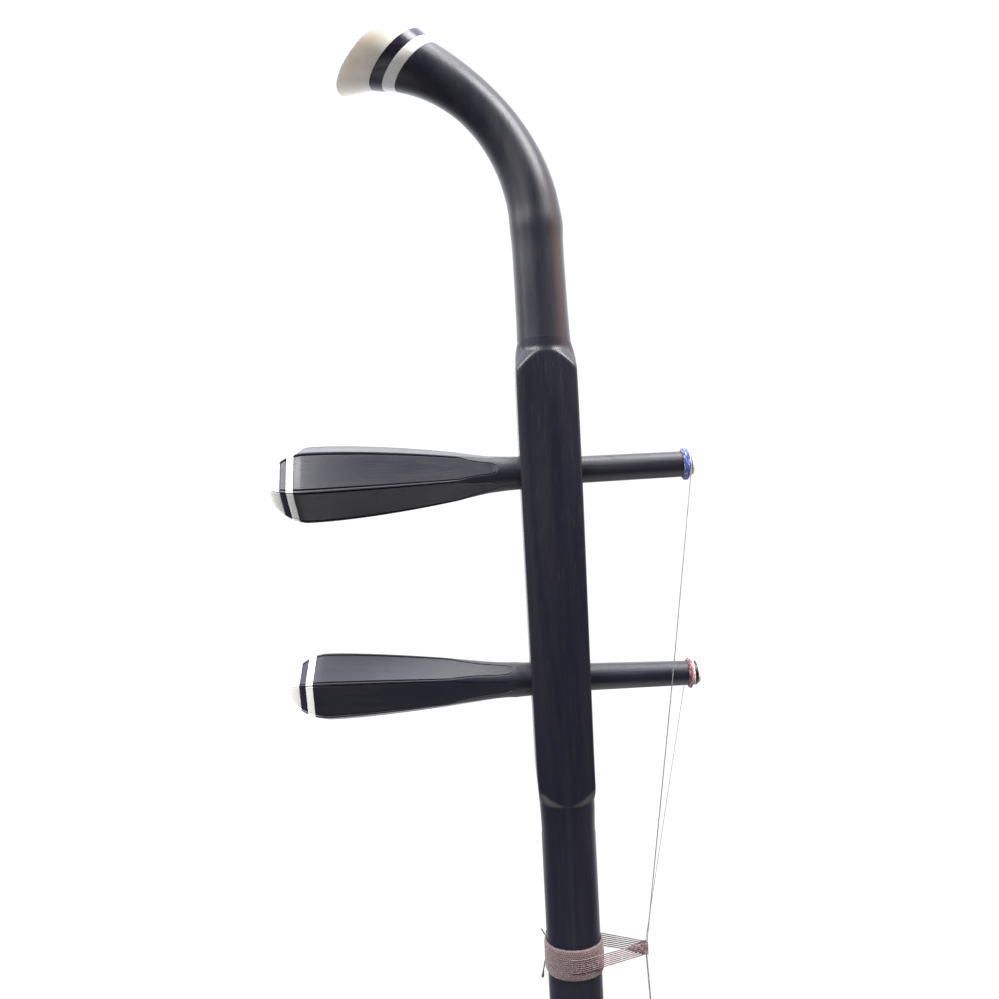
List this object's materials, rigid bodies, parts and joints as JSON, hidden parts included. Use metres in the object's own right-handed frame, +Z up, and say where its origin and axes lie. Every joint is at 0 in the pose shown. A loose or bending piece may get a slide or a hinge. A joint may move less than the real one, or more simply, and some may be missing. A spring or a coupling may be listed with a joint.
{
  "type": "erhu",
  "caption": "Two-string bowed instrument: hexagonal resonator with a skin face, round black neck with a curved head, ribbed tuning pegs and a sliding thread nut.",
  "frame": {"origin": "on the neck's axis, at the underside of the base", "axes": "+Z up the neck, +X towards the skin and strings, and the player sits on the -Y side"},
  "size_m": [0.1602, 0.1074, 0.8077],
  "materials": {
    "neck_wood": "satin black ebony-like wood, fine pores",
    "head_wood": "satin dark wood with brown tints",
    "peg_wood": "satin black wood, open pores on the facets",
    "body_wood": "satin black-brown wood",
    "white_ring": "polished white bone-like ring",
    "black_ring": "polished black ring",
    "ivory_cap": "polished ivory-coloured bone",
    "blue_silk": "blue silk thread winding",
    "red_silk": "dark red silk thread winding",
    "thread": "brown-mauve waxed thread",
    "python_skin": "scaled snake skin, semi-gloss",
    "maple": "pale bare wood",
    "felt": "dark red felt",
    "brass": "aged brass",
    "string_steel": "drawn steel wire"
  },
  "bodies": {
    "body": {"neck": "neck_wood", "curved_head": "head_wood", "head_ring_white": "white_ring", "head_ring_black": "black_ring", "head_cap": "ivory_cap", "board_top": "body_wood", "board_upper_far": "body_wood", "board_lower_far": "body_wood", "board_bottom": "body_wood", "board_lower_near": "body_wood", "board_upper_near": "body_wood", "python_skin": "python_skin", "skin_band": "body_wood", "rear_band": "body_wood", "sound_window": "body_wood", "bridge": "maple", "damper_felt": "felt", "base": "body_wood", "base_screw_near": "brass", "base_screw_far": "brass", "string_hitch": "brass", "inner_string": "string_steel", "outer_string": "string_steel"},
    "upper_peg_body": {"upper_peg": "peg_wood", "upper_peg_ring_white": "white_ring", "upper_peg_ring_black": "black_ring", "upper_peg_cap": "ivory_cap", "upper_peg_button": "ivory_cap", "upper_coil": "blue_silk"},
    "lower_peg_body": {"lower_peg": "peg_wood", "lower_peg_ring_white": "white_ring", "lower_peg_ring_black": "black_ring", "lower_peg_cap": "ivory_cap", "lower_peg_button": "ivory_cap", "lower_coil": "red_silk"},
    "qianjin": {"qianjin_band": "thread", "qianjin_strands_near": "thread", "qianjin_strands_far": "thread", "qianjin_wrap": "thread", "qianjin_knot": "thread"}
  },
  "joints": [
    {"name": "upper_peg_turn", "type": "hinge", "parent": "body", "child": "upper_peg_body", "pos_m": [0, 0, 0.639], "axis": [1, 0, 0.0056], "range_deg": [-300, 30]},
    {"name": "lower_peg_turn", "type": "hinge", "parent": "body", "child": "lower_peg_body", "pos_m": [0, 0, 0.5609], "axis": [0.9999, 0, -0.0105], "range_deg": [-300, 30]},
    {"name": "qianjin_slide", "type": "slide", "parent": "body", "child": "qianjin", "axis": [0, 0, 1], "range_m": [-0.02, 0.02], "deforming": ["inner_string", "outer_string"]}
  ]
}
